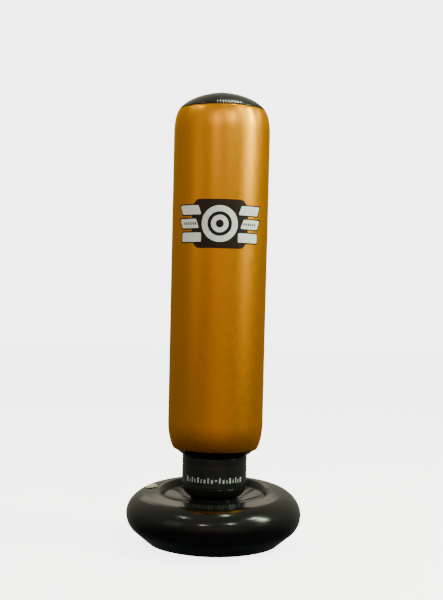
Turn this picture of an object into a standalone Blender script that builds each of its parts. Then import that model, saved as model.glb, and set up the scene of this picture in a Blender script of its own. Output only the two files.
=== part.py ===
"""Inflatable free-standing punch bag: a PVC air column on a flexible neck, over a water-filled ring base.

Run with: blender --background --python part.py
Metres, +Z up. The origin is the centre of the footprint, on the floor, and the front of the bag faces -Y.
Every wall is a welded PVC sheet. A profile is a list of (radius, height) points on the sheet's outer face,
running from the top down, and the sheet's thickness lies inside it.
"""

import math

import bmesh
import bpy
from mathutils import Matrix, Vector

# ---- Driving dimensions ----------------------------------------------------------------------------------
HEIGHT = 1.600
COLUMN_RADIUS_TOP = 0.1710
COLUMN_RADIUS_FOOT = 0.1685
NECK_RADIUS = 0.1145
CORE_RADIUS = 0.0862
BASE_RADIUS = 0.3095
FOOT_RADIUS = 0.212
SHEET = 0.0006
GAP = 0.0003
WELD_WIDTH = 0.006

# ---- Heights and radii of the welded seams ---------------------------------------------------------------
TOP_SEAM = (0.154, 1.538)
FOOT_SEAM = (0.149, 0.341)
NECK_TOP_SEAM = (NECK_RADIUS, 0.314)
NECK_FOOT_SEAM = (NECK_RADIUS + 0.0005, 0.209)
CORE_TOP_SEAM = (CORE_RADIUS, 0.168)
DISH_SEAM = (0.178, 0.171)
DISH_FOOT_HEIGHT = 0.149
FLOOR_SEAM = (0.230, 0.005)

# ---- Shapes of the curved walls, centres and half axes of ellipses as (radius, height) --------------------
DOME_HALF = (0.175, 0.114)
SHOULDER_CENTRE = (COLUMN_RADIUS_TOP - 0.025, 1.4546)
SHOULDER_HALF = (0.025, 0.088)
HEEL_CENTRE = (COLUMN_RADIUS_FOOT - 0.040, 0.4338)
HEEL_HALF = (0.040, 0.108)
NECK_CORNER = 0.009
NECK_BOW = 0.001
TAPER_BOW = 0.006
DISH_BOW = -0.003
EQUATOR_HEIGHT = 0.1105
CREST_HEIGHT = 0.1925
CREST_CENTRE = (0.204, 0.170)
CREST_HALF = (0.026, CREST_HEIGHT - CREST_CENTRE[1])
CREST_ANGLES = (165, 95)
BULGE_HALF = (0.0845, 0.078)
BULGE_CENTRE = (BASE_RADIUS - BULGE_HALF[0], EQUATOR_HEIGHT)
BULGE_START = 73
FLANK_RADIUS = 0.082
FLANK_CENTRE = (BASE_RADIUS - FLANK_RADIUS, EQUATOR_HEIGHT)
FLANK_END = -45

FORWARD_PIVOT = Vector((0, 0, 0.202))
SIDEWAYS_PIVOT = Vector((0, 0, 0.274))

# ---- Resolution ------------------------------------------------------------------------------------------
SEGMENTS = 36
VALVE_SEGMENTS = 24
HALF_SEGMENT = math.pi / SEGMENTS

# ---- Valves, sizes along and around their own axis -------------------------------------------------------
AIR_VALVE_HEIGHT = 0.470
AIR_VALVE_AZIMUTH = math.radians(90)
AIR_BORE = 0.0050
AIR_STEM_RADIUS = 0.0070
AIR_STEM_LENGTH = 0.016
AIR_HOLE_RADIUS = 0.0080
AIR_HINGE_REACH = 0.0125
WATER_VALVE_RADIUS = 0.228
WATER_VALVE_AZIMUTH = math.radians(170)
WATER_BORE = 0.0115
WATER_TUBE_RADIUS = 0.0132
WATER_HOLE_RADIUS = 0.0138
WATER_CAP_RADIUS = 0.0175
WATER_HINGE_REACH = 0.021


def clear_scene():
    for old in list(bpy.data.objects):
        bpy.data.objects.remove(old, do_unlink=True)


def new_collection(name):
    made = bpy.data.collections.new(name)
    bpy.context.scene.collection.children.link(made)
    return made


def new_material(name, colour, roughness, metallic=0.0, alpha=1.0):
    made = bpy.data.materials.new(name)
    made.use_nodes = True
    shader = made.node_tree.nodes["Principled BSDF"]
    shader.inputs["Base Color"].default_value = (*colour, 1.0)
    shader.inputs["Roughness"].default_value = roughness
    shader.inputs["Metallic"].default_value = metallic
    shader.inputs["Alpha"].default_value = alpha
    made.diffuse_color = (*colour, alpha)
    return made


clear_scene()
PARTS = new_collection("punch_bag")
CUTTERS = new_collection("cutters")
BLACK_PVC = new_material("black_pvc", (0.012, 0.012, 0.013), 0.28)
GOLD_PVC = new_material("gold_pvc", (0.62, 0.33, 0.05), 0.34, metallic=0.7)
CLEAR_PVC = new_material("natural_pvc", (0.80, 0.78, 0.68), 0.35)
WATER = new_material("water", (0.55, 0.70, 0.75), 0.05, alpha=0.4)


# ---- Objects ---------------------------------------------------------------------------------------------
def new_empty(name, location, parent=None):
    made = bpy.data.objects.new(name, None)
    made.empty_display_size = 0.05
    PARTS.objects.link(made)
    if parent:
        made.parent = parent
        made.location = Vector(location) - parent.matrix_world.translation
    else:
        made.location = location
    bpy.context.view_layer.update()
    return made


def place(obj, parent, matrix):
    """Puts obj at matrix in the world, as a child of parent."""
    obj.parent = parent
    obj.matrix_parent_inverse = parent.matrix_world.inverted()
    obj.matrix_world = matrix


def shade(obj):
    obj.data.shade_smooth()
    obj.data.set_sharp_from_angle(angle=math.radians(40))


def profile_object(name, points, closed, segments, material, collection=PARTS):
    """An object that turns a profile of (radius, height) points about its own Z axis."""
    mesh = bpy.data.meshes.new(name)
    corners = [(radius, 0.0, height) for radius, height in points]
    edges = [(i, i + 1) for i in range(len(corners) - 1)]
    if closed:
        edges.append((len(corners) - 1, 0))
    mesh.from_pydata(corners, edges, [])
    made = bpy.data.objects.new(name, mesh)
    collection.objects.link(made)
    mesh.materials.append(material)
    screw = made.modifiers.new("turn", "SCREW")
    screw.steps = screw.render_steps = segments
    screw.use_merge_vertices = True
    screw.merge_threshold = 0.00001
    screw.use_smooth_shade = True
    return made


def turned_sheet(name, profile, material, parent):
    """A sheet of revolution about the bag's own axis, SHEET thick."""
    origin = parent.matrix_world.translation
    local = [(radius, height - origin.z) for radius, height in profile]
    made = profile_object(name, local, False, SEGMENTS, material)
    solid = made.modifiers.new("thickness", "SOLIDIFY")
    solid.thickness = SHEET
    solid.offset = -1
    solid.use_even_offset = True
    place(made, parent, Matrix.Translation(origin) @ Matrix.Rotation(HALF_SEGMENT, 4, "Z"))
    return made


def turned_solid(name, profile, segments, material, parent, matrix):
    """A solid of revolution about matrix's Z axis, from a closed profile."""
    made = profile_object(name, profile, True, segments, material)
    place(made, parent, matrix)
    return made


def apply_modifiers(obj):
    """Replaces obj's mesh with its evaluated one, so that it can take part in a Boolean."""
    graph = bpy.context.evaluated_depsgraph_get()
    baked = bpy.data.meshes.new_from_object(obj.evaluated_get(graph))
    obj.modifiers.clear()
    obj.data = baked


def cutter_cylinder(name, radius, depth, matrix):
    bpy.ops.mesh.primitive_cylinder_add(vertices=VALVE_SEGMENTS, radius=radius, depth=depth)
    made = bpy.context.object
    made.name = name
    made.matrix_world = matrix
    for collection in list(made.users_collection):
        collection.objects.unlink(made)
    CUTTERS.objects.link(made)
    made.hide_render = True
    made.display_type = "WIRE"
    return made


def boolean(obj, other, operation):
    cut = obj.modifiers.new(other.name, "BOOLEAN")
    cut.operation = operation
    cut.object = other
    cut.solver = "EXACT"


# ---- Profiles --------------------------------------------------------------------------------------------
def ellipse_point(centre, half_width, half_height, degrees):
    """The point of an ellipse at an angle, 0 pointing outwards and 90 up."""
    angle = math.radians(degrees)
    return centre[0] + half_width * math.cos(angle), centre[1] + half_height * math.sin(angle)


def elliptic_arc(centre, half_width, half_height, start, end, steps):
    """Points on an ellipse from angle start to end."""
    angles = [start + (end - start) * i / steps for i in range(steps + 1)]
    return [ellipse_point(centre, half_width, half_height, angle) for angle in angles]


def bowed_line(start, end, bow, steps):
    """Points from start to end on a shallow parabola that stands bow to the left of the line."""
    a, b = Vector(start), Vector(end)
    side = Vector((-(b - a).y, (b - a).x)).normalized()
    return [
        tuple(a.lerp(b, i / steps) + side * bow * 4 * (i / steps) * (1 - i / steps))
        for i in range(steps + 1)
    ]


def weld_lips(seam, inward):
    """The turned-in lips of the upper and the lower sheet at a seam, half a GAP each side of its plane.

    inward is the direction in which both lips run from the seam. The first list ends an upper sheet's
    profile and the second starts a lower one's.
    """
    along = Vector(inward).normalized()
    across = Vector((along.y, -along.x))
    if across.y < 0:
        across.negate()
    here = Vector(seam)
    above = here + across * GAP / 2
    below = here - across * GAP / 2
    reach = along * WELD_WIDTH
    upper = [tuple(above), tuple(above + reach)]
    lower = [tuple(below + reach), tuple(below)]
    return upper, lower


TOP_LIPS = weld_lips(TOP_SEAM, (-1, -0.7))
FOOT_LIPS = weld_lips(FOOT_SEAM, (-1, 0.9))
NECK_TOP_LIPS = weld_lips(NECK_TOP_SEAM, (-1, 0))
NECK_FOOT_LIPS = weld_lips(NECK_FOOT_SEAM, (-1, 0))
CORE_TOP_LIPS = weld_lips(CORE_TOP_SEAM, (-1, 0.2))
DISH_LIPS = weld_lips(DISH_SEAM, (-0.3, -1))


def dome_profile():
    """The crown: part of an ellipse from the axis out to the top seam."""
    centre = (0.0, HEIGHT - DOME_HALF[1])
    seam_angle = math.degrees(math.acos(TOP_SEAM[0] / DOME_HALF[0]))
    arc = elliptic_arc(centre, *DOME_HALF, 90, seam_angle, 7)
    upper_lip, _ = TOP_LIPS
    return [(0.0, HEIGHT), *arc[1:-1], *upper_lip]


def column_profile():
    """The gold wall: round upper shoulder, slightly tapered tube, round lower shoulder."""
    start = math.degrees(math.acos((TOP_SEAM[0] - SHOULDER_CENTRE[0]) / SHOULDER_HALF[0]))
    end = -math.degrees(math.acos((FOOT_SEAM[0] - HEEL_CENTRE[0]) / HEEL_HALF[0]))
    upper = elliptic_arc(SHOULDER_CENTRE, *SHOULDER_HALF, start, 0, 4)
    lower = elliptic_arc(HEEL_CENTRE, *HEEL_HALF, 0, end, 5)
    _, first_lip = TOP_LIPS
    last_lip, _ = FOOT_LIPS
    return [*first_lip, *upper[1:], *lower[:-1], *last_lip]


def column_bottom_profile():
    """The black underside: a shallow cone with a round corner into the neck."""
    _, first_lip = FOOT_LIPS
    last_lip, _ = NECK_TOP_LIPS
    centre = (NECK_RADIUS + NECK_CORNER, NECK_TOP_SEAM[1])
    fillet = elliptic_arc(centre, NECK_CORNER, NECK_CORNER, 90, 180, 3)
    return [*first_lip, *fillet[:-1], *last_lip]


def neck_sleeve_profile():
    """The neck's tube, the least bit fuller at half height."""
    _, first_lip = NECK_TOP_LIPS
    last_lip, _ = NECK_FOOT_LIPS
    wall = bowed_line(NECK_TOP_SEAM, NECK_FOOT_SEAM, NECK_BOW, 4)
    return [*first_lip, *wall[1:-1], *last_lip]


def neck_taper_profile():
    """The neck's rounded foot, from the sleeve in to the tube inside the ring."""
    _, first_lip = NECK_FOOT_LIPS
    last_lip, _ = CORE_TOP_LIPS
    wall = bowed_line(NECK_FOOT_SEAM, CORE_TOP_SEAM, TAPER_BOW, 4)
    return [*first_lip, *wall[1:-1], *last_lip]


def core_tube_profile():
    """The tube inside the ring: from the neck's foot straight down to a lip on the bottom panel."""
    _, first_lip = CORE_TOP_LIPS
    floor = SHEET + GAP
    wall = [(CORE_RADIUS, DISH_FOOT_HEIGHT), (CORE_RADIUS, floor)]
    return [*first_lip, *wall, (CORE_RADIUS - WELD_WIDTH, floor)]


def base_outer_profile():
    """The ring's outer wall: over the crest, round the widest part and down a 45 degree flank."""
    crest = elliptic_arc(CREST_CENTRE, *CREST_HALF, *CREST_ANGLES, 3)
    upper = elliptic_arc(BULGE_CENTRE, *BULGE_HALF, BULGE_START, 0, 6)
    flank = elliptic_arc(FLANK_CENTRE, FLANK_RADIUS, FLANK_RADIUS, 0, FLANK_END, 3)
    _, first_lip = DISH_LIPS
    lip_height = FLOOR_SEAM[1] + SHEET + GAP
    foot = (FLOOR_SEAM[0], lip_height)
    foot_lip = (FLOOR_SEAM[0] - WELD_WIDTH, lip_height - WELD_WIDTH * floor_slope())
    return [*first_lip, *crest, *upper, *flank[1:], foot, foot_lip]


def floor_slope():
    """How steeply the bottom panel's rim rises from the flat foot to the floor seam."""
    return FLOOR_SEAM[1] / (FLOOR_SEAM[0] - FOOT_RADIUS)


def dish_profile():
    """The ring's inner wall: a sagging cone from the crest's seam down to the core tube."""
    last_lip, _ = DISH_LIPS
    inner = CORE_RADIUS + GAP
    wall = bowed_line((inner, DISH_FOOT_HEIGHT), last_lip[0], DISH_BOW, 4)
    return [(inner, DISH_FOOT_HEIGHT - WELD_WIDTH), *wall[:-1], *last_lip]


def bottom_profile():
    """The flat foot, and its rim that rises to the floor seam."""
    return [FLOOR_SEAM, (FOOT_RADIUS, 0.0), (0.0, 0.0)]


def offset_inwards(points, distance):
    """The same open profile moved sideways, to the right of the way it runs."""
    moved = []
    for i, here in enumerate(points):
        before = Vector(points[max(i - 1, 0)])
        after = Vector(points[min(i + 1, len(points) - 1)])
        along = (after - before).normalized()
        moved.append((here[0] + along.y * distance, here[1] - along.x * distance))
    return moved


def ballast_profile():
    """The ring's whole inside, filled with water, clear of the sheets and of their lips."""
    clear = SHEET + 2 * GAP
    outer = offset_inwards(base_outer_profile(), clear)
    wall = outer[2:-2]
    inner = CORE_RADIUS + 2 * clear
    lip_foot = DISH_SEAM[1] - WELD_WIDTH - clear
    dish_sag = (0.130, DISH_FOOT_HEIGHT + 0.004)
    under_dish = [(inner, DISH_FOOT_HEIGHT - 0.0045), dish_sag, (DISH_SEAM[0] - 0.009, lip_foot)]
    under_lips = (wall[0][0], lip_foot)
    return [*under_dish, under_lips, *wall, (FOOT_RADIUS, clear), (inner, clear)]


# ---- Valves ----------------------------------------------------------------------------------------------
def axis_frame(point, outward, sideways):
    """A matrix at point whose Z axis is outward and whose X axis is as near to sideways as it can be."""
    z = Vector(outward).normalized()
    x = (Vector(sideways) - z * z.dot(Vector(sideways))).normalized()
    y = z.cross(x)
    rotation = Matrix((x, y, z)).transposed().to_4x4()
    return Matrix.Translation(point) @ rotation


def tongue(name, width, start, reach, low, high, frame, material):
    """A flat tab along the frame's X axis from start to reach, where its round end is."""
    outline = bpy.data.curves.new(name, "CURVE")
    outline.dimensions = "2D"
    outline.fill_mode = "BOTH"
    outline.extrude = (high - low) / 2
    half = width / 2
    bulge = half * 0.6
    end_arc = elliptic_arc((reach - bulge, 0.0), bulge, half, -90, 90, 6)
    corners = [(start, -half), *end_arc, (start, half)]
    spline = outline.splines.new("POLY")
    spline.points.add(len(corners) - 1)
    for point, corner in zip(spline.points, corners):
        point.co = (*corner, 0.0, 1.0)
    spline.use_cyclic_u = True
    drawn = bpy.data.objects.new(name + "_outline", outline)
    CUTTERS.objects.link(drawn)
    drawn.matrix_world = frame @ Matrix.Translation((0, 0, (low + high) / 2))
    bpy.context.view_layer.update()
    graph = bpy.context.evaluated_depsgraph_get()
    mesh = bpy.data.meshes.new_from_object(drawn.evaluated_get(graph))
    made = bpy.data.objects.new(name, mesh)
    made.matrix_world = drawn.matrix_world.copy()
    bpy.data.objects.remove(drawn)
    weld_caps(mesh)
    mesh.materials.append(material)
    CUTTERS.objects.link(made)
    made.hide_render = True
    made.display_type = "WIRE"
    return made


def weld_caps(mesh):
    """Joins a curve's caps to its sides."""
    soft = bmesh.new()
    soft.from_mesh(mesh)
    bmesh.ops.remove_doubles(soft, verts=soft.verts, dist=1e-6)
    bmesh.ops.recalc_face_normals(soft, faces=soft.faces)
    soft.to_mesh(mesh)
    soft.free()


def stopper_profile(cap_radius, cap_low, cap_high, plug_top, plug_end, plug_low):
    """A cap with a slightly crowned top and a tapered plug under it."""
    edge = (cap_high - cap_low) * 0.3
    return [
        (0.0, cap_high),
        (cap_radius * 0.7, cap_high - edge * 0.3),
        (cap_radius - edge, cap_high - edge * 0.6),
        (cap_radius, cap_high - edge * 1.6),
        (cap_radius, cap_low),
        (plug_top, cap_low),
        (plug_end, plug_low),
        (0.0, plug_low),
    ]


def hinge_empty(name, parent, frame, reach, height):
    """An empty on a stopper's hinge line, which runs along the frame's Y axis."""
    made = bpy.data.objects.new(name, None)
    made.empty_display_size = 0.01
    PARTS.objects.link(made)
    place(made, parent, frame @ Matrix.Translation((reach, 0, height)))
    bpy.context.view_layer.update()
    return made


def water_valve(base, outer_panel, ballast):
    """The base's filler: a flanged tube through the outer wall, and a stopper hinged on its own tab."""
    crest_end = Vector(ellipse_point(CREST_CENTRE, *CREST_HALF, CREST_ANGLES[1]))
    bulge_start = Vector(ellipse_point(BULGE_CENTRE, *BULGE_HALF, BULGE_START))
    fall = crest_end - bulge_start
    slope = math.atan2(fall.y, -fall.x)
    around = Vector((math.cos(WATER_VALVE_AZIMUTH), math.sin(WATER_VALVE_AZIMUTH), 0))
    outward = around * math.sin(slope) + Vector((0, 0, math.cos(slope)))
    height = crest_end.y - (WATER_VALVE_RADIUS - crest_end.x) * math.tan(slope)
    tangent = Vector((0, 0, 1)).cross(around) * -1
    centre = around * WATER_VALVE_RADIUS * math.cos(HALF_SEGMENT) + Vector((0, 0, height))
    frame = axis_frame(centre, outward, tangent)
    hole = cutter_cylinder("water_hole", WATER_HOLE_RADIUS, 0.03, frame)
    boolean(outer_panel, hole, "DIFFERENCE")
    pocket = cutter_cylinder("filler_pocket", WATER_TUBE_RADIUS + 0.0015, 0.034, frame)
    boolean(ballast, pocket, "DIFFERENCE")

    rim_top = 0.0040
    hinge_height = rim_top + GAP / 2
    flange = turned_solid(
        "water_valve_flange",
        [
            (WATER_BORE, rim_top),
            (0.0145, rim_top),
            (0.0150, 0.0025),
            (0.0160, 0.0018),
            (0.0220, 0.0012),
            (0.0222, 2 * GAP),
            (WATER_TUBE_RADIUS, 2 * GAP),
            (WATER_TUBE_RADIUS, -0.014),
            (WATER_BORE, -0.014),
        ],
        VALVE_SEGMENTS,
        CLEAR_PVC,
        base,
        frame,
    )
    apply_modifiers(flange)
    ear = tongue("water_ear", 0.009, 0.0125, WATER_HINGE_REACH, 0.0026, 0.0038, frame, CLEAR_PVC)
    boolean(flange, ear, "UNION")

    hinge = hinge_empty("water_stopper_hinge", base, frame, WATER_HINGE_REACH, hinge_height)
    cap_low = rim_top + GAP
    stopper = turned_solid(
        "water_valve_stopper",
        stopper_profile(WATER_CAP_RADIUS, cap_low, 0.0083, 0.0109, 0.0096, hinge_height - 0.008),
        VALVE_SEGMENTS,
        CLEAR_PVC,
        hinge,
        frame,
    )
    apply_modifiers(stopper)
    tab_low = cap_low + 0.0001
    tab = tongue("water_tab", 0.009, 0.0125, WATER_HINGE_REACH, tab_low, tab_low + 0.0013, frame, CLEAR_PVC)
    boolean(stopper, tab, "UNION")


def air_valve(column, wall):
    """The column's valve: inner flange, a stem that pulls out, a check flap and a hinged stopper."""
    around = Vector((math.cos(AIR_VALVE_AZIMUTH), math.sin(AIR_VALVE_AZIMUTH), 0))
    share = (AIR_VALVE_HEIGHT - HEEL_CENTRE[1]) / (SHOULDER_CENTRE[1] - HEEL_CENTRE[1])
    radius = COLUMN_RADIUS_FOOT + (COLUMN_RADIUS_TOP - COLUMN_RADIUS_FOOT) * share
    point = around * radius * math.cos(HALF_SEGMENT) + Vector((0, 0, AIR_VALVE_HEIGHT))
    frame = axis_frame(point, around, Vector((0, 0, 1)).cross(around))
    hole = cutter_cylinder("air_hole", AIR_HOLE_RADIUS, 0.02, frame)
    boolean(wall, hole, "DIFFERENCE")

    turned_solid(
        "air_valve_flange",
        [(0.0073, -0.0020), (0.0200, -0.0020), (0.0200, -0.0030), (0.0073, -0.0030)],
        VALVE_SEGMENTS,
        CLEAR_PVC,
        column,
        frame,
    )

    slide = hinge_empty("air_stem_slide", column, frame, 0.0, 0.0)
    lip_low, lip_top = 0.0004, 0.0016
    hinge_height = lip_top + GAP / 2
    stem = turned_solid(
        "air_valve_stem",
        [
            (AIR_BORE, lip_top),
            (0.0098, lip_top),
            (0.0100, lip_low),
            (AIR_STEM_RADIUS, lip_low),
            (AIR_STEM_RADIUS, -AIR_STEM_LENGTH),
            (AIR_BORE, -AIR_STEM_LENGTH),
        ],
        VALVE_SEGMENTS,
        CLEAR_PVC,
        slide,
        frame,
    )
    apply_modifiers(stem)
    ear_low, ear_top = lip_low + 0.0001, lip_top - 0.0001
    ear = tongue("air_ear", 0.006, 0.0075, AIR_HINGE_REACH, ear_low, ear_top, frame, CLEAR_PVC)
    boolean(stem, ear, "UNION")

    hinge = hinge_empty("air_stopper_hinge", slide, frame, AIR_HINGE_REACH, hinge_height)
    cap_low = lip_top + GAP
    stopper = turned_solid(
        "air_valve_stopper",
        stopper_profile(0.0090, cap_low, 0.0039, 0.0046, 0.0038, hinge_height - 0.005),
        VALVE_SEGMENTS,
        CLEAR_PVC,
        hinge,
        frame,
    )
    apply_modifiers(stopper)
    tab_low = cap_low + 0.0001
    tab = tongue("air_tab", 0.006, 0.0065, AIR_HINGE_REACH, tab_low, tab_low + 0.0010, frame, CLEAR_PVC)
    boolean(stopper, tab, "UNION")

    flap_top = -AIR_STEM_LENGTH - GAP
    flap_frame = frame @ Matrix.Rotation(math.radians(90), 4, "Z")
    flap_hinge = hinge_empty("air_flap_hinge", slide, flap_frame, 0.0064, flap_top)
    turned_solid(
        "air_valve_flap",
        [(0.0, flap_top), (0.0060, flap_top), (0.0060, flap_top - 0.0008), (0.0, flap_top - 0.0008)],
        VALVE_SEGMENTS,
        CLEAR_PVC,
        flap_hinge,
        frame,
    )


# ---- Assembly --------------------------------------------------------------------------------------------
def build():
    base = new_empty("base_body", (0, 0, 0))
    neck = new_empty("forward_pivot", FORWARD_PIVOT, base)
    column = new_empty("sideways_pivot", SIDEWAYS_PIVOT, neck)

    turned_sheet("base_bottom_panel", bottom_profile(), BLACK_PVC, base)
    outer_panel = turned_sheet("base_outer_panel", base_outer_profile(), BLACK_PVC, base)
    turned_sheet("base_inner_panel", dish_profile(), BLACK_PVC, base)
    turned_sheet("core_tube", core_tube_profile(), BLACK_PVC, base)
    ballast = turned_solid(
        "ballast_water",
        ballast_profile(),
        SEGMENTS,
        WATER,
        base,
        Matrix.Rotation(HALF_SEGMENT, 4, "Z"),
    )

    turned_sheet("neck_taper", neck_taper_profile(), BLACK_PVC, neck)
    turned_sheet("neck_sleeve", neck_sleeve_profile(), BLACK_PVC, neck)

    turned_sheet("column_bottom_panel", column_bottom_profile(), BLACK_PVC, column)
    wall = turned_sheet("column_wall", column_profile(), GOLD_PVC, column)
    turned_sheet("top_panel", dome_profile(), BLACK_PVC, column)

    water_valve(base, outer_panel, ballast)
    air_valve(column, wall)


build()
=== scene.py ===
"""The finished look of an inflatable free-standing punch bag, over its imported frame.

The film skins replace the frame's plain sheets: each is a dense surface of revolution with the puckers,
creases and unevenness of welded PVC film, all worked out by formulas. The seams' radii and heights are the
frame's own. Metres, +Z up, and the front faces -Y.
"""

import math

import bmesh
import bpy
import numpy as np
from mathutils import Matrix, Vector


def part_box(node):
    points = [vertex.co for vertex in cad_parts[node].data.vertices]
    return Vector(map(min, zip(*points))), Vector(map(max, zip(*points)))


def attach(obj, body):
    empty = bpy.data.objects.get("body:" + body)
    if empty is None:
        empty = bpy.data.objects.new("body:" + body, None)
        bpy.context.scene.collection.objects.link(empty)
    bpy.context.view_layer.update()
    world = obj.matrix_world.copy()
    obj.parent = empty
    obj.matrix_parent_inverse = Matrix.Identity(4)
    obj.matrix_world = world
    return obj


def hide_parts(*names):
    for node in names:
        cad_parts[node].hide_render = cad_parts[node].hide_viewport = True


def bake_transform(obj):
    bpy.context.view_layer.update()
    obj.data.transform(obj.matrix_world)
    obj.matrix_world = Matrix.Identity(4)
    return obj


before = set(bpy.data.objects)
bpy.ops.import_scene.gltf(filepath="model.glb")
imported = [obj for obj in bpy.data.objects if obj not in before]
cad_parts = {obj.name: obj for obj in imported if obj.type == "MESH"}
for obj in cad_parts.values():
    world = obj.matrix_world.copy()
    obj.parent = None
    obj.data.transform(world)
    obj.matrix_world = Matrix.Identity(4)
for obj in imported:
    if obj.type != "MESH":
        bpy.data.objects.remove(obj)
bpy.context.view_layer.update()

# ---- Sizes of the film and its seams, as (radius, height) ------------------------------------------------
FILM = 0.0005
LIP = 0.006
FIN = 0.0016
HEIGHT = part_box("top_panel")[1].z
COLUMN_RADIUS_TOP = 0.1710
COLUMN_RADIUS_FOOT = 0.1685
TOP_SEAM = (0.154, 1.538)
FOOT_SEAM = (0.149, 0.341)
NECK_RADIUS = 0.1145
NECK_TOP = 0.314
NECK_FOOT = 0.209
NECK_SPREAD = 0.0006
NECK_ROW = 0.0026
CORE_RADIUS = 0.0862
CORE_TOP = 0.168
DISH_FOOT = 0.149
DISH_SEAM = (0.178, 0.171)
FLOOR_SEAM = (0.230, 0.005)
FOOT_RADIUS = 0.212
BASE_RADIUS = 0.3095
EQUATOR = 0.1105
CREST = (0.204, 0.1925)

# ---- Round stretches of the walls: centres as (radius, height), and half axes ----------------------------
DOME_HALF = (0.175, 0.114)
SHOULDER_HALF = (0.025, 0.088)
SHOULDER_CENTRE = (COLUMN_RADIUS_TOP - SHOULDER_HALF[0], 1.4546)
HEEL_HALF = (0.040, 0.108)
HEEL_CENTRE = (COLUMN_RADIUS_FOOT - HEEL_HALF[0], 0.4338)
UNDERSIDE_CORNER = 0.010
UNDERSIDE_BOW = -0.0015
TAPER_BOW = 0.006
COLLAR_BOW = 0.0006
DISH_BOW = -0.003
BULGE_HALF = (0.0845, 0.078)
FLANK_RADIUS = 0.082
CREST_INNER_ANGLE = 45

# ---- The ring's top rises towards the rear and the right, fully at its crest and not at all by LEAN_FOOT --
RISE_TO_REAR = 0.0165
RISE_TO_RIGHT = 0.0030
LEAN_FOOT = EQUATOR - 0.03

# ---- How far films that meet at a seam stand apart, so that they don't cut through each other ------------
SEAM_GAP = 0.0004
WIDE_GAP = 0.0006
COLLAR_GAP = 0.0008
TUBE_GAP = 0.0012
END_GAP = 0.0010

# ---- How far the film's folds, creases and swells stand out ----------------------------------------------
SHOULDER_FOLD = 0.0032
HEEL_CREASE = 0.0024
COLUMN_SWELL = 0.0007
CROWN_CREASE = 0.0026
CROWN_SWELL = 0.0006
UNDERSIDE_CREASE = 0.0020
NECK_FOLD = 0.0012
NECK_FOOT_CREASE = 0.0008
NECK_DENT = 0.0005
NECK_DENT_HEIGHT = 0.289
FLANK_CREASE = 0.0022
CREST_CREASE = 0.0014
RING_SWELL = 0.0016
DISH_FOLD = 0.0020
SOLE_CREASE = 0.0012

# ---- The lapped weld up the back of each tube ------------------------------------------------------------
REAR = math.pi / 2
FRONT = -math.pi / 2
WELD_HALF = 0.006
WELD_STEP = 0.0007
WELD_EASE = 0.0004

# ---- The print: the neck's bars by their heights and the angle between them, and the column's emblem -----
BAND = (0.2310, 0.2490)
BAND_STOPS = (0.2370, 0.2435)
BAND_GAP_DEGREES = 3.6
EMBLEM_HEIGHT = 1.126
EMBLEM_WIDTH = 0.310
EMBLEM_TALL = 0.125
BAR_TALL = 0.0315
BAR_SLANT = 0.012
BAR_CLEAR = 0.010
BAR_CORNER = 0.004
EDGE_INK = 0.0042
EDGE_CORNER = 0.005
RING_INSIDE = 0.042
BULL_RADIUS = 0.030
BULL_HOLE = 0.0135
PLATE_WIDTH = 0.204
PLATE_TALL = 0.168
PLATE_CUT = 0.022
PLATE_CORNER = 0.018
TICKS_START = 0.020
TICKS_STOP = 0.014
TICK_WIDTH = 0.0050
TICK_TALL = 0.0090
TICK_PITCH = 0.0092
TICK_SLANT = 0.0020
TICK_CORNER = 0.0008

# ---- How far each coat of ink stands proud of the column, and the cells that follow its curve ------------
PLATE_PROUD = 0.0004
EDGE_PROUD = 0.0007
WHITE_PROUD = 0.0010
TICK_PROUD = 0.0013
PRINT_REACH = 0.15
PRINT_CELL = 0.004


# ---- Curves and ripples ----------------------------------------------------------------------------------
def arc(centre, half, start, end, steps):
    """Points on an ellipse from angle start to end in degrees, 0 pointing outwards and 90 up."""
    angles = np.radians(np.linspace(start, end, steps + 1))
    return [(centre[0] + half[0] * math.cos(a), centre[1] + half[1] * math.sin(a)) for a in angles]


def line(start, end, steps, bow=0.0):
    """Points from start to end on a shallow parabola that stands bow to the left of the line."""
    a, b = Vector(start), Vector(end)
    side = Vector((-(b - a).y, (b - a).x)).normalized()
    shares = np.linspace(0, 1, steps + 1)
    return [tuple(a.lerp(b, t) + side * bow * 4 * t * (1 - t)) for t in shares]


def smooth(low, high, value):
    """0 below low, 1 above high and a smooth step between, for arrays; low may be the larger."""
    t = np.clip((value - low) / (high - low), 0, 1)
    return t * t * (3 - 2 * t)


def fading(distance, reach, clear):
    """The strength of creases beside a seam: none on it, strongest at about clear, fading over reach."""
    return np.exp(-np.maximum(distance, 0) / reach) * smooth(0.0, clear, distance)


def puckers(angle, count, seed):
    """Round, uneven ridges with sharp creases between them, round a seam, from about -0.6 to 0.4 high."""
    rng = np.random.default_rng(seed)
    a, b, c, d = rng.uniform(0, 2 * math.pi, 4)
    phase = count * angle + 1.6 * np.sin(3 * angle + a) + 1.1 * np.sin(7 * angle + b)
    height = 0.65 + 0.25 * np.sin(5 * angle + c) + 0.20 * np.sin(11 * angle + d)
    return (np.abs(np.cos(phase / 2)) - 0.6) * height


def soft_folds(angle, count, seed):
    """Round, uneven waves round a seam, from about -0.5 to 0.5 high."""
    rng = np.random.default_rng(seed)
    a, b, c = rng.uniform(0, 2 * math.pi, 3)
    phase = count * angle + 1.3 * np.sin(2 * angle + a) + 0.8 * np.sin(5 * angle + b)
    return 0.5 * np.cos(phase) * (0.7 + 0.3 * np.sin(4 * angle + c))


def unevenness(angle, z, seed, turns, length):
    """A gentle swell of about 1 high, from a few waves round and along the bag."""
    rng = np.random.default_rng(seed)
    total = np.zeros_like(angle)
    for _ in range(7):
        n = int(rng.integers(1, turns + 1))
        k = rng.uniform(-1, 1) * 2 * math.pi / length
        total = total + rng.uniform(0.4, 1) * np.sin(n * angle + k * z + rng.uniform(0, 2 * math.pi))
    return total / 3


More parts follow.
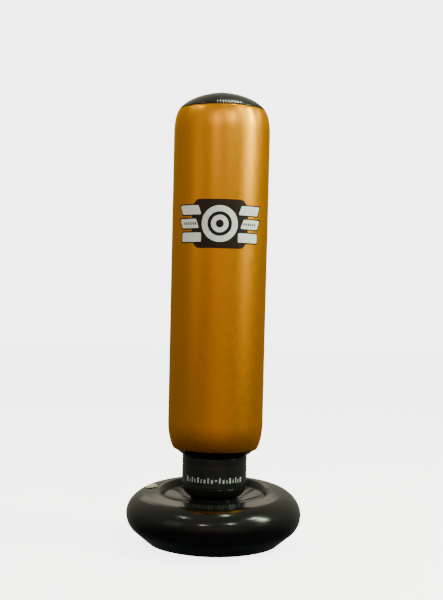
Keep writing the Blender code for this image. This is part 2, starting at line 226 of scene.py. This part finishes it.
def rear_weld(angle, radius):
    """The extra thickness where the film's two edges lap, up the back."""
    along = np.abs(angle - REAR) * radius
    return WELD_STEP * np.clip((WELD_HALF + WELD_EASE - along) / (2 * WELD_EASE), 0, 1)


# ---- Skins -----------------------------------------------------------------------------------------------
def add(name, mesh, material):
    made = bpy.data.objects.new(name, mesh)
    bpy.context.scene.collection.objects.link(made)
    mesh.materials.append(material)
    return made


def angles_round(segments, edges):
    """The edges, and even angles round the bag, but for those within a fifth of a step of an edge."""
    step = 2 * math.pi / segments
    even = np.linspace(-math.pi, math.pi, segments, endpoint=False)
    clear = [a for a in even if min(abs(a - edge) for edge in edges) > step / 5]
    return np.array(sorted({*clear, *edges}))


def lip(seam, inwards, upwards):
    """The end of a film's edge, turned in at a seam on a slope given in shares of the lip's width."""
    return seam[0] - LIP * inwards, seam[1] + LIP * upwards


def skin(name, rows, segments, material, shape=None, ink=None, cells=()):
    """A film of revolution through rows of (radius, height), top to bottom down its outer side.

    shape takes arrays of angle, radius and height, and returns the moved radius and height. ink is a second
    material, on the cells of (first angle, last angle, lowest height, highest height).
    """
    profile = np.array(rows, float)
    weld = (WELD_HALF + np.array([-WELD_EASE, WELD_EASE])) / profile[:, 0].max()
    edges = [*(REAR - weld), *(REAR + weld), *[edge for cell in cells for edge in cell[:2]]]
    angles = angles_round(segments, edges)
    angle, radius = np.meshgrid(angles, profile[:, 0])
    height = np.repeat(profile[:, 1:2], len(angles), axis=1)
    if shape:
        radius, height = shape(angle, radius, height)
    points = np.stack([radius * np.cos(angle), radius * np.sin(angle), height], axis=-1)

    net = bmesh.new()
    rings = []
    for start_radius, here in zip(profile[:, 0], points):
        if start_radius < 1e-6:
            here = [(0.0, 0.0, float(here[:, 2].mean()))]
        rings.append([net.verts.new(tuple(point)) for point in here])
    for level, (upper, lower) in enumerate(zip(rings, rings[1:])):
        middle = (profile[level, 1] + profile[level + 1, 1]) / 2
        for i in range(len(angles)):
            j = (i + 1) % len(angles)
            left, right = i % len(lower), j % len(lower)
            corners = [upper[i % len(upper)], lower[left], lower[right], upper[j % len(upper)]]
            face = net.faces.new(list(dict.fromkeys(corners)))
            turn = (angles[i] + angles[j]) / 2
            inked = any(first < turn < last and low < middle < high for first, last, low, high in cells)
            face.material_index = int(inked)
    mesh = bpy.data.meshes.new(name)
    net.to_mesh(mesh)
    net.free()
    mesh.shade_smooth()
    made = add(name, mesh, material)
    if ink:
        mesh.materials.append(ink)
    solid = made.modifiers.new("film", "SOLIDIFY")
    solid.thickness = FILM
    solid.offset = -1
    solid.use_even_offset = True
    return made


# ---- Materials -------------------------------------------------------------------------------------------
# The colour sockets of a Mix node: its two inputs and its output.
MIX_FIRST, MIX_SECOND, MIXED = 6, 7, 2


class Nodes:
    """A material's node tree, with short calls to add and link nodes."""

    def __init__(self, name):
        self.material = bpy.data.materials.new(name)
        self.material.use_nodes = True
        self.tree = self.material.node_tree
        self.shader = self.tree.nodes["Principled BSDF"]
        self.place = self.new("ShaderNodeTexCoord").outputs["Object"]

    def new(self, kind, **settings):
        node = self.tree.nodes.new(kind)
        for key, value in settings.items():
            setattr(node, key, value)
        return node

    def link(self, source, target):
        self.tree.links.new(source, target)

    def stretched(self, scale):
        """The object's coordinates, scaled along each axis."""
        node = self.new("ShaderNodeMapping")
        node.inputs["Scale"].default_value = scale
        self.link(self.place, node.inputs["Vector"])
        return node.outputs["Vector"]

    def noise(self, scale, detail=3.0, roughness=0.5, vector=None):
        node = self.new("ShaderNodeTexNoise")
        node.inputs["Scale"].default_value = scale
        node.inputs["Detail"].default_value = detail
        node.inputs["Roughness"].default_value = roughness
        self.link(vector or self.place, node.inputs["Vector"])
        return node.outputs["Fac"]

    def ramp(self, source, low, high, start, end):
        """source's range low to high, mapped to start to end and held there."""
        node = self.new("ShaderNodeMapRange", clamp=True)
        for key, value in (("From Min", low), ("From Max", high), ("To Min", start), ("To Max", end)):
            node.inputs[key].default_value = value
        self.link(source, node.inputs["Value"])
        return node.outputs["Result"]

    def mix(self, factor, first, second):
        """A colour mix by the socket factor; first and second are colours or sockets."""
        node = self.new("ShaderNodeMix", data_type="RGBA")
        self.link(factor, node.inputs["Factor"])
        for socket, value in ((node.inputs[MIX_FIRST], first), (node.inputs[MIX_SECOND], second)):
            if isinstance(value, tuple):
                socket.default_value = (*value, 1.0)
            else:
                self.link(value, socket)
        return node.outputs[MIXED]

    def bump(self, height, distance, strength=1.0, under=None):
        node = self.new("ShaderNodeBump")
        node.inputs["Distance"].default_value = distance
        node.inputs["Strength"].default_value = strength
        self.link(height, node.inputs["Height"])
        if under:
            self.link(under, node.inputs["Normal"])
        return node.outputs["Normal"]

    def set(self, **values):
        """Sets the shader's sockets: Base_Color=(r, g, b), or a socket to link."""
        for key, value in values.items():
            socket = self.shader.inputs[key.replace("_", " ")]
            if isinstance(value, tuple):
                socket.default_value = (*value, 1.0)
            elif isinstance(value, (int, float)):
                socket.default_value = value
            else:
                self.link(value, socket)
        return self.material


def black_film(name, depth):
    """Glossy black PVC; depth is how light it is: pigment and dust, and on the neck painted bounce light."""
    n = Nodes(name)
    clean = (0.88 * depth, depth, 1.05 * depth)
    dusty = (1.5 * depth, 1.65 * depth, 1.6 * depth)
    colour = n.mix(n.ramp(n.noise(9, 6, 0.65), 0.50, 0.78, 0.0, 1.0), clean, dusty)
    grain = n.bump(n.noise(420, 2, 0.5), 0.00002, 0.6)
    slack = n.bump(n.noise(9, 2, 0.45), 0.0011, 1.0, grain)
    rough = n.ramp(n.noise(14, 3, 0.5), 0.3, 0.75, 0.15, 0.21)
    return n.set(Base_Color=colour, Roughness=rough, Normal=slack, Specular_IOR_Level=0.26)


def gold_film():
    """Pearlescent gold PVC: metal flakes in a glossy film that hangs in faint upright waves."""
    n = Nodes("gold_film")
    cloud = n.noise(5, 4, 0.55, n.stretched((1, 1, 0.35)))
    fleck = n.noise(1500, 2, 0.7)
    warm = n.mix(n.ramp(cloud, 0.3, 0.7, 0.0, 1.0), (0.59, 0.143, 0.003), (0.63, 0.160, 0.004))
    colour = n.mix(n.ramp(fleck, 0.45, 0.75, 0.0, 0.45), warm, (0.65, 0.22, 0.01))
    grain = n.bump(fleck, 0.00005, 0.8)
    slack = n.bump(n.noise(7, 2, 0.5, n.stretched((1, 1, 0.25))), 0.0015, 1.0, grain)
    rough = n.ramp(n.noise(60, 4, 0.6), 0.3, 0.7, 0.33, 0.43)
    n.set(Base_Color=colour, Roughness=rough, Normal=slack)
    return n.set(Metallic=0.80, IOR=3.4, Specular_IOR_Level=1.0, Specular_Tint=(1.0, 0.88, 0.0))


def print_ink(name, colour, worn, gloss=0.5):
    """Screen-printed ink: a matt coat with fine pinholes."""
    n = Nodes(name)
    pinholes = n.ramp(n.noise(420, 3, 0.7), 0.62, 0.72, 0.0, 0.25)
    speckled = n.mix(pinholes, n.mix(n.noise(30), colour, worn), worn)
    rough = n.ramp(n.noise(120), 0.3, 0.7, 0.38, 0.52)
    grain = n.bump(n.noise(600, 2), 0.00004)
    return n.set(Base_Color=speckled, Roughness=rough, Normal=grain, Specular_IOR_Level=gloss)


def moulded_pvc():
    """The valves' soft cream plastic."""
    n = Nodes("moulded_pvc")
    colour = n.mix(n.noise(60, 4), (0.86, 0.84, 0.70), (0.92, 0.90, 0.78))
    rough = n.ramp(n.noise(200), 0.3, 0.7, 0.32, 0.46)
    grain = n.bump(n.noise(900, 2), 0.00005)
    return n.set(Base_Color=colour, Roughness=rough, Normal=grain, Subsurface_Weight=0.15)


def pale_floor(glow):
    n = Nodes("pale_floor")
    colour = n.mix(n.noise(1.5), (0.86, 0.86, 0.86), (0.88, 0.88, 0.88))
    n.set(Base_Color=colour, Roughness=0.9, Specular_IOR_Level=0.1)
    return n.set(Emission_Color=(1, 1, 1), Emission_Strength=glow)


BLACK = black_film("black_film", 0.0034)
# A lighter copy of the black film for the neck: the extra lightness is painted bounce light from below.
NECK_BLACK_PAINTED_LIGHT = black_film("neck_film_painted_light", 0.0080)
GOLD = gold_film()
PLATE_INK = print_ink("plate_ink", (0.014, 0.0050, 0.0022), (0.022, 0.009, 0.004), 0.2)
WHITE_INK = print_ink("white_ink", (0.86, 0.91, 0.95), (0.79, 0.82, 0.84))
GREY_INK = print_ink("grey_ink", (0.42, 0.47, 0.50), (0.30, 0.34, 0.36))
LINE_INK = print_ink("line_ink", (0.0060, 0.0035, 0.0030), (0.010, 0.006, 0.005), 0.2)
VALVE = moulded_pvc()

# ---- Camera, floor and light -----------------------------------------------------------------------------
CAMERA_PLACE = (0.0118, -3.77, 0.866)
CAMERA_ROLL = math.radians(-1.30)
LENS_MM = 63.5
SENSOR_MM = 36

# How brightly the backdrop shows to the camera, and how much light the floor gives off so as to match it.
BACKDROP = 6.0
FLOOR_GLOW = 0.68 * BACKDROP
FLOOR_SIZE = 30

# The dim room that the bag reflects, from below its horizon to above it.
ROOM_LOW = (0.045, 0.050, 0.056, 1)
ROOM_HIGH = (0.58, 0.57, 0.42, 1)

# Lamps, as name, place, size, power and colour. They all face the middle of the bag.
LAMP_AIM = Vector((0, 0, 0.9))
CEILING = 3.0
NEUTRAL = (0.90, 1.0, 0.80)
GREENISH = (0.82, 1.0, 0.70)
WARM = (1.0, 0.88, 0.74)
AMBER = (1.0, 0.62, 0.34)
LAMPS = (
    ("right_panel", (2.6, -0.7, CEILING), (0.46, 1.5), 112, GREENISH),
    ("right_window", (2.85, -0.9, 2.25), (0.8, 1.1), 42, GREENISH),
    ("right_wall", (3.0, -1.5, 1.3), (1.0, 1.2), 5, WARM),
    ("centre_lamp", (0.36, 0.14, CEILING), (0.14, 0.10), 9, NEUTRAL),
    ("left_lamp", (-1.3, -0.45, CEILING), (0.3, 0.16), 8, NEUTRAL),
    ("front_right_lamp", (1.3, -2.9, CEILING), (0.35, 0.2), 34, NEUTRAL),
    ("front_left_lamp", (-0.9, -4.0, CEILING), (0.35, 0.2), 30, WARM),
    ("left_wall", (-3.0, -2.2, 1.9), (1.6, 2.2), 8, WARM),
    ("rear_bank", (-0.6, 3.8, 2.6), (3.0, 1.4), 14, WARM),
    ("front_wall", (0.4, -4.5, 1.0), (3.4, 1.6), 7, AMBER),
    ("floor_glow", (0.1, -1.7, 0.02), (2.6, 0.8), 1.2, AMBER),
)


def place_camera():
    camera = bpy.data.cameras.new("camera")
    camera.lens = LENS_MM
    camera.sensor_fit = "VERTICAL"
    camera.sensor_height = SENSOR_MM
    held = bpy.data.objects.new("camera", camera)
    held.location = CAMERA_PLACE
    held.rotation_euler = (math.radians(90), CAMERA_ROLL, 0)
    bpy.context.scene.collection.objects.link(held)
    bpy.context.scene.camera = held


def lay_floor():
    """A pale floor that the bag's gloss doesn't pick up."""
    bpy.ops.mesh.primitive_grid_add(x_subdivisions=8, y_subdivisions=8, size=FLOOR_SIZE)
    floor = bpy.context.object
    floor.name = "floor"
    floor.data.materials.append(pale_floor(FLOOR_GLOW))
    floor.visible_glossy = False
    floor.visible_diffuse = False


def light_room():
    """A dim room that grows lighter upwards, and a pale backdrop that only the camera sees."""
    world = bpy.data.worlds.new("studio")
    bpy.context.scene.world = world
    world.use_nodes = True
    nodes = world.node_tree.nodes
    dim = nodes["Background"]
    place = nodes.new("ShaderNodeTexCoord")
    split = nodes.new("ShaderNodeSeparateXYZ")
    rise = nodes.new("ShaderNodeMapRange")
    rise.inputs["From Min"].default_value = -0.5
    rise.inputs["From Max"].default_value = 0.5
    room = nodes.new("ShaderNodeMix")
    room.data_type = "RGBA"
    room.inputs[MIX_FIRST].default_value = ROOM_LOW
    room.inputs[MIX_SECOND].default_value = ROOM_HIGH
    pale = nodes.new("ShaderNodeBackground")
    pale.inputs["Strength"].default_value = BACKDROP
    seen = nodes.new("ShaderNodeLightPath")
    chosen = nodes.new("ShaderNodeMixShader")
    for source, target in (
        (place.outputs["Generated"], split.inputs["Vector"]),
        (split.outputs["Z"], rise.inputs["Value"]),
        (rise.outputs["Result"], room.inputs["Factor"]),
        (room.outputs[MIXED], dim.inputs["Color"]),
        (seen.outputs["Is Camera Ray"], chosen.inputs["Fac"]),
        (dim.outputs["Background"], chosen.inputs[1]),
        (pale.outputs["Background"], chosen.inputs[2]),
        (chosen.outputs["Shader"], nodes["World Output"].inputs["Surface"]),
    ):
        world.node_tree.links.new(source, target)


def hang_lamp(name, place, size, power, colour):
    lamp = bpy.data.lights.new(name, "AREA")
    lamp.shape = "RECTANGLE"
    lamp.size, lamp.size_y = size
    lamp.energy = power
    lamp.color = colour
    held = bpy.data.objects.new(name, lamp)
    held.location = place
    held.rotation_euler = (LAMP_AIM - Vector(place)).to_track_quat("-Z", "Y").to_euler()
    held.visible_camera = False
    bpy.context.scene.collection.objects.link(held)


# ---- Column ----------------------------------------------------------------------------------------------
def column_shape(angle, radius, height):
    """The gold wall's film: soft folds at its top, puckers at its foot and a faint swell between."""
    below_top = TOP_SEAM[1] - height
    above_foot = height - FOOT_SEAM[1]
    folds = SHOULDER_FOLD * fading(below_top, reach=0.028, clear=0.006) * soft_folds(angle, 19, seed=3)
    creases = HEEL_CREASE * fading(above_foot, reach=0.020, clear=0.004) * puckers(angle, 21, seed=8)
    free = smooth(0.0, 0.10, below_top) * smooth(0.0, 0.10, above_foot)
    swell = COLUMN_SWELL * free * unevenness(angle, height, seed=5, turns=4, length=0.9)
    return radius + folds + creases + swell + rear_weld(angle, radius), height


def column_rows():
    start = math.degrees(math.acos((TOP_SEAM[0] - SHOULDER_CENTRE[0]) / SHOULDER_HALF[0]))
    end = -math.degrees(math.acos((FOOT_SEAM[0] - HEEL_CENTRE[0]) / HEEL_HALF[0]))
    top_lip = lip((TOP_SEAM[0], TOP_SEAM[1] - SEAM_GAP), 0.8, -0.55)
    top = (TOP_SEAM[0], TOP_SEAM[1] - WIDE_GAP)
    shoulder = arc(SHOULDER_CENTRE, SHOULDER_HALF, start, 0, 34)
    heel = arc(HEEL_CENTRE, HEEL_HALF, 0, end, 36)
    tube = line(shoulder[-1], heel[0], 70)
    foot_lip = lip((FOOT_SEAM[0], FOOT_SEAM[1] + SEAM_GAP), 0.7, 0.6)
    return [top_lip, top, *shoulder[1:], *tube[1:-1], *heel, foot_lip]


def crown_shape(angle, radius, height):
    """The black crown: fine puckers along its edge and a slight unevenness over it."""
    inside = np.clip(TOP_SEAM[0] - radius, 0, 1)
    creases = CROWN_CREASE * fading(inside, reach=0.018, clear=0.003) * puckers(angle, 96, seed=11)
    free = smooth(0.0, 0.03, inside) * smooth(0.0, 0.06, radius)
    swell = CROWN_SWELL * free * unevenness(angle, height, seed=21, turns=4, length=0.5)
    return radius, height + creases + swell


def crown_rows():
    seam_angle = math.degrees(math.acos(TOP_SEAM[0] / DOME_HALF[0]))
    dome = arc((0.0, HEIGHT - DOME_HALF[1]), DOME_HALF, 90, seam_angle, 60)
    return [(0.0, HEIGHT), *dome[1:], lip(TOP_SEAM, 0.8, -0.55)]


def underside_shape(angle, radius, height):
    """The black underside: puckers just inside the gold wall's lower seam."""
    near_seam = fading(FOOT_SEAM[0] - radius, reach=0.012, clear=0.003)
    return radius, height - UNDERSIDE_CREASE * near_seam * puckers(angle, 42, seed=13)


def underside_rows():
    """A shallow cone with a round corner into the neck."""
    start = (FOOT_SEAM[0], FOOT_SEAM[1] - SEAM_GAP)
    corner_centre = (NECK_RADIUS + UNDERSIDE_CORNER, NECK_TOP)
    corner = arc(corner_centre, (UNDERSIDE_CORNER, UNDERSIDE_CORNER), 90, 180, 10)
    cone = line(start, corner[0], 16, UNDERSIDE_BOW)
    return [lip(start, 0.7, 0.6), *cone, *corner[1:], lip((NECK_RADIUS, NECK_TOP), 1, 0)]


def column():
    wall = skin("gold_wall", column_rows(), 240, GOLD, column_shape)
    crown = skin("black_crown", crown_rows(), 720, BLACK, crown_shape)
    underside = skin("black_underside", underside_rows(), 240, BLACK, underside_shape)
    for piece in (wall, crown, underside):
        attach(piece, "column")
    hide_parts("column_wall")
    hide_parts("top_panel")
    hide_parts("column_bottom_panel")


# ---- Emblem ----------------------------------------------------------------------------------------------
def wall_point(across, height, proud):
    """A point proud of the column's wall, across metres to the right of its front centre line."""
    rows = column_rows()[1:-1]
    radius = np.interp(height, [z for _, z in rows][::-1], [r for r, _ in rows][::-1])
    angle = FRONT + across / radius
    moved, _ = column_shape(np.array(angle), np.array(radius), np.array(height))
    return float(moved + proud) * Vector((math.cos(angle), math.sin(angle), 0)) + Vector((0, 0, height))


def slab(left, right, low, high, slant):
    """A bar with slanted ends, counter-clockwise."""
    return [(left, low), (right, low), (right + slant, high), (left + slant, high)]


def circle(radius, steps=64):
    angles = np.linspace(0, 2 * math.pi, steps, endpoint=False)
    return [(radius * math.cos(a), radius * math.sin(a)) for a in angles]


def mirrored(corners):
    return [(-x, z) for x, z in reversed(corners)]


def grown(corners, margin):
    """A convex polygon, counter-clockwise, with its sides moved out by margin."""
    sides = list(zip(corners, corners[1:] + corners[:1]))
    moved = []
    for before, after in zip([sides[-1], *sides], sides):
        lines = []
        for start, end in (before, after):
            step = (Vector(end) - Vector(start)).normalized()
            lines.append((Vector(start) + margin * Vector((step.y, -step.x)), step))
        (p, u), (q, v) = lines
        share = (q - p).cross(v) / u.cross(v)
        moved.append(tuple(p + share * u))
    return moved


def rounded(corners, radius, steps=7):
    """The outline of a convex polygon with its corners rounded."""
    outline = []
    for i, corner in enumerate(corners):
        here = Vector(corner)
        back = (Vector(corners[i - 1]) - here).normalized()
        on = (Vector(corners[(i + 1) % len(corners)]) - here).normalized()
        reach = radius / math.tan(back.angle(on) / 2)
        start, end = here + back * reach, here + on * reach
        for t in np.linspace(0, 1, steps):
            outline.append(tuple(start.lerp(here, t).lerp(here.lerp(end, t), t)))
    return outline


def printed(name, outlines, proud, material):
    """Ink on the column's front. An outline is a list of (across, up) points, or two of them for a ring."""
    net = bmesh.new()
    for outline in outlines:
        if isinstance(outline, tuple):
            outer, inner = ([net.verts.new((x, z, 0)) for x, z in loop] for loop in outline)
            for i in range(len(outer)):
                j = (i + 1) % len(outer)
                net.faces.new((outer[i], outer[j], inner[j], inner[i]))
        else:
            net.faces.new([net.verts.new((x, z, 0)) for x, z in outline])
    for axis in ((1, 0, 0), (0, 1, 0)):
        for step in np.arange(-PRINT_REACH, PRINT_REACH + 0.001, PRINT_CELL):
            everything = net.verts[:] + net.edges[:] + net.faces[:]
            bmesh.ops.bisect_plane(net, geom=everything, plane_co=Vector(axis) * step, plane_no=axis)
    for vert in net.verts:
        vert.co = wall_point(vert.co.x, EMBLEM_HEIGHT + vert.co.y, proud)
    mesh = bpy.data.meshes.new(name)
    net.to_mesh(mesh)
    net.free()
    mesh.shade_smooth()
    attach(add(name, mesh, material), "column")


def emblem():
    """A generic mark: a target between slanted bars, edged in dark ink, on an eight-sided dark plate."""
    wide, tall = PLATE_WIDTH / 2, PLATE_TALL / 2
    inset, low = wide - PLATE_CUT, tall - PLATE_CUT
    plate = [(-inset, -tall), (inset, -tall), (wide, -low), (wide, low)]
    plate += [(-x, -z) for x, z in plate]
    printed("emblem_plate", [rounded(plate, PLATE_CORNER)], PLATE_PROUD, PLATE_INK)

    end, top = EMBLEM_WIDTH / 2 - BAR_SLANT, EMBLEM_TALL / 2
    beside = BAR_CLEAR + math.sqrt(top**2 - (top - BAR_TALL) ** 2)
    bars = [
        slab(beside, end, -top, BAR_TALL - top, 0.0),
        slab(BAR_CLEAR + top, end, -BAR_TALL / 2, BAR_TALL / 2, BAR_SLANT),
        slab(beside, end, top - BAR_TALL, top, BAR_SLANT),
    ]
    bars += [mirrored(bar) for bar in bars]
    edging = [rounded(grown(bar, EDGE_INK), EDGE_CORNER) for bar in bars]
    printed("emblem_edging", [*edging, circle(top + EDGE_INK)], EDGE_PROUD, LINE_INK)
    rings = [(circle(top), circle(RING_INSIDE)), (circle(BULL_RADIUS), circle(BULL_HOLE))]
    bars = [rounded(bar, BAR_CORNER) for bar in bars]
    printed("emblem_bars", [*bars, *rings], WHITE_PROUD, WHITE_INK)

    starts = np.arange(top + TICKS_START, end - TICKS_STOP, TICK_PITCH)
    ticks = [slab(x, x + TICK_WIDTH, -TICK_TALL / 2, TICK_TALL / 2, TICK_SLANT) for x in starts]
    ticks += [mirrored(tick) for tick in ticks]
    printed("emblem_ticks", [rounded(tick, TICK_CORNER, 3) for tick in ticks], TICK_PROUD, LINE_INK)


# ---- Neck ------------------------------------------------------------------------------------------------
def neck_shape(angle, radius, height):
    """The neck's film: soft folds under its top, a faint dent round it and puckers at its foot."""
    folds = NECK_FOLD * fading(NECK_TOP - height, reach=0.018, clear=0.004) * puckers(angle, 15, seed=31)
    near_foot = np.exp(-np.abs(height - NECK_FOOT) / 0.006)
    creases = NECK_FOOT_CREASE * near_foot * puckers(angle, 46, seed=33)
    above_dent = height - NECK_DENT_HEIGHT - 0.002 * np.sin(angle + 1.0)
    dent = NECK_DENT * np.exp(-((above_dent / 0.005) ** 2))
    return radius + folds + creases - dent + rear_weld(angle, radius), height


def band_cells():
    """A generic row of upright bars round the neck's front, in a few widths and heights, with a dash.

    Each cell is (first angle, last angle, lowest height, highest height), and the widths are in degrees.
    """
    low, high = BAND
    mid_low, mid_high = BAND_STOPS
    tall, small, dash = (low, high), (low, mid_high), (mid_low, mid_high)
    side = [(4.4, tall), (1.8, small), (2.6, tall), (1.8, small)]
    side += [(3.4, tall), (1.8, small), (3.4, small), (2.6, tall)]
    bars = [*side, (3.4, small), (3.4, dash), *reversed(side)]
    total = sum(width for width, _ in bars) + BAND_GAP_DEGREES * (len(bars) - 1)
    cells = []
    edge = math.degrees(FRONT) - total / 2
    for width, (foot, top) in bars:
        cells.append((math.radians(edge), math.radians(edge + width), foot, top))
        edge += width + BAND_GAP_DEGREES
    return cells


def sleeve_rows():
    """The neck's tube, with a row at each height where a printed bar ends."""
    top = NECK_TOP - WIDE_GAP
    stops = [top, BAND[1], *reversed(BAND_STOPS), BAND[0], NECK_FOOT + SEAM_GAP]
    wall = [(NECK_RADIUS, top)]
    for upper, lower in zip(stops, stops[1:]):
        steps = max(2, round((upper - lower) / NECK_ROW))
        heights = np.linspace(upper, lower, steps + 1)[1:]
        wall += [(NECK_RADIUS + NECK_SPREAD * (top - z) / top, z) for z in heights]
    return [lip(wall[0], 1, 0), *wall, lip((NECK_RADIUS, NECK_FOOT - END_GAP), 0.8, 0)]


def taper_rows():
    """The neck's rounded foot, and the collar under it down to the dish."""
    top = (NECK_RADIUS - 0.0002, NECK_FOOT - WIDE_GAP)
    slope = line(top, (CORE_RADIUS, CORE_TOP), 24, TAPER_BOW)
    collar_top = (CORE_RADIUS - COLLAR_GAP, CORE_TOP - END_GAP)
    collar = line(collar_top, (CORE_RADIUS, DISH_FOOT + END_GAP), 10, COLLAR_BOW)
    return [lip((NECK_RADIUS, NECK_FOOT - 0.0022), 1, 0), *slope, *collar]


def neck():
    sleeve = skin("neck_skin", sleeve_rows(), 240, NECK_BLACK_PAINTED_LIGHT, neck_shape, GREY_INK, band_cells())
    taper = skin("neck_taper_skin", taper_rows(), 220, NECK_BLACK_PAINTED_LIGHT, neck_shape)
    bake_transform(sleeve)
    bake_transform(taper)
    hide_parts("neck_sleeve")
    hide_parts("neck_taper")


# ---- Base ------------------------------------------------------------------------------------------------
def lean(angle, height):
    """How much higher the ring's top stands towards the rear and the right."""
    share = smooth(LEAN_FOOT, CREST[1], height)
    return share * (RISE_TO_REAR * np.sin(angle) + RISE_TO_RIGHT * np.cos(angle))


def floor_puckers(angle):
    """The puckers that the ring's flank and its sole share, at the seam between them."""
    return puckers(angle, 50, seed=43)


def ring_shape(angle, radius, height):
    """The ring's film: creases at the dish seam and the floor seam, and a slight swell."""
    above_floor = height - FLOOR_SEAM[1]
    near_dish = np.exp(-np.abs(radius - DISH_SEAM[0]) / 0.012) * smooth(0.150, 0.165, height)
    creases = FLANK_CREASE * fading(above_floor, reach=0.014, clear=0.003) * floor_puckers(angle)
    free = smooth(0.0, 0.03, above_floor)
    swell = RING_SWELL * free * unevenness(angle, height, seed=41, turns=5, length=0.4)
    lifted = height + lean(angle, height) + CREST_CREASE * near_dish * puckers(angle, 38, seed=45)
    return radius + creases + swell + rear_weld(angle, radius), lifted


def ring_rows():
    """The ring's wall: a fin at the dish seam, over the crest, round the bulge and down the flank."""
    inner = math.radians(CREST_INNER_ANGLE)
    crest_half = (
        (CREST[0] - DISH_SEAM[0]) / math.cos(inner),
        (CREST[1] - DISH_SEAM[1]) / (1 - math.sin(inner)),
    )
    fin = (DISH_SEAM[0] - WIDE_GAP, DISH_SEAM[1] + FIN)
    crest = arc((CREST[0], CREST[1] - crest_half[1]), crest_half, 180 - CREST_INNER_ANGLE, 92, 20)
    bulge = arc((BASE_RADIUS - BULGE_HALF[0], EQUATOR), BULGE_HALF, 73, 0, 34)
    flank = arc((BASE_RADIUS - FLANK_RADIUS, EQUATOR), (FLANK_RADIUS, FLANK_RADIUS), 0, -45, 20)
    foot = (FLOOR_SEAM[0], FLOOR_SEAM[1] + END_GAP)
    foot_lip = lip((FLOOR_SEAM[0], FLOOR_SEAM[1] - WIDE_GAP), 1, 0)
    over = line(crest[-1], bulge[0], 5)[1:]
    under = line(flank[-1], foot, 14)[1:]
    return [fin, *crest, *over, *bulge[1:], *flank[1:], *under, foot_lip]


def dish_shape(angle, radius, height):
    """The dish's film: soft folds that run in towards the collar."""
    outside_collar = smooth(CORE_RADIUS, CORE_RADIUS + 0.02, radius)
    inside_seam = smooth(DISH_SEAM[0], DISH_SEAM[0] - 0.01, radius)
    share = (radius - CORE_RADIUS) / (DISH_SEAM[0] - CORE_RADIUS)
    lift = np.clip(share, 0, 1) * lean(angle, np.full_like(height, DISH_SEAM[1]))
    folds = puckers(angle, 17, seed=51) + 0.35 * share * puckers(angle, 46, seed=53)
    return radius, height + lift + DISH_FOLD * outside_collar * inside_seam * folds


def dish_rows():
    inner = CORE_RADIUS + COLLAR_GAP
    outer = DISH_SEAM[0] - TUBE_GAP
    wall = line((inner, DISH_FOOT), (outer, DISH_SEAM[1] - SEAM_GAP), 34, DISH_BOW)
    fin = (DISH_SEAM[0] - 0.0017, DISH_SEAM[1] + FIN)
    return [(inner, DISH_FOOT - LIP), *wall, fin]


def sole_shape(angle, radius, height):
    """The flat underside, puckered upwards at its edge."""
    edge = smooth(FOOT_RADIUS, FLOOR_SEAM[0], radius)
    return radius, height + SOLE_CREASE * edge * np.maximum(floor_puckers(angle) + 0.6, 0)


def base():
    sole_rows = [FLOOR_SEAM, *line((FOOT_RADIUS, 0.0), (0.02, 0.0), 14), (0.0, 0.0)]
    inside = CORE_RADIUS - TUBE_GAP
    tube_rows = line((inside, DISH_FOOT + 0.004), (inside, 0.0009), 12)
    ring = skin("ring_wall", ring_rows(), 288, BLACK, ring_shape)
    dish = skin("ring_dish", dish_rows(), 240, BLACK, dish_shape)
    sole = skin("ring_sole", sole_rows, 160, BLACK, sole_shape)
    tube = skin("inner_tube", tube_rows, 96, BLACK)
    for piece in (ring, dish, sole, tube):
        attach(piece, "base")
    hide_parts("base_outer_panel")
    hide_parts("base_inner_panel")
    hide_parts("base_bottom_panel")
    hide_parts("core_tube")
    # The water fills the ring to its wall and can't be seen.
    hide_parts("ballast_water")


# ---- Valves: the frame's own pieces, in their finished material ------------------------------------------
VALVE_NODES = (
    "water_valve_flange",
    "water_valve_stopper",
    "air_valve_flange",
    "air_valve_stem",
    "air_valve_stopper",
    "air_valve_flap",
)


def valves():
    for node in VALVE_NODES:
        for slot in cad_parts[node].material_slots:
            slot.material = VALVE


place_camera()
lay_floor()
light_room()
for lamp in LAMPS:
    hang_lamp(*lamp)
column()
emblem()
neck()
base()
valves()
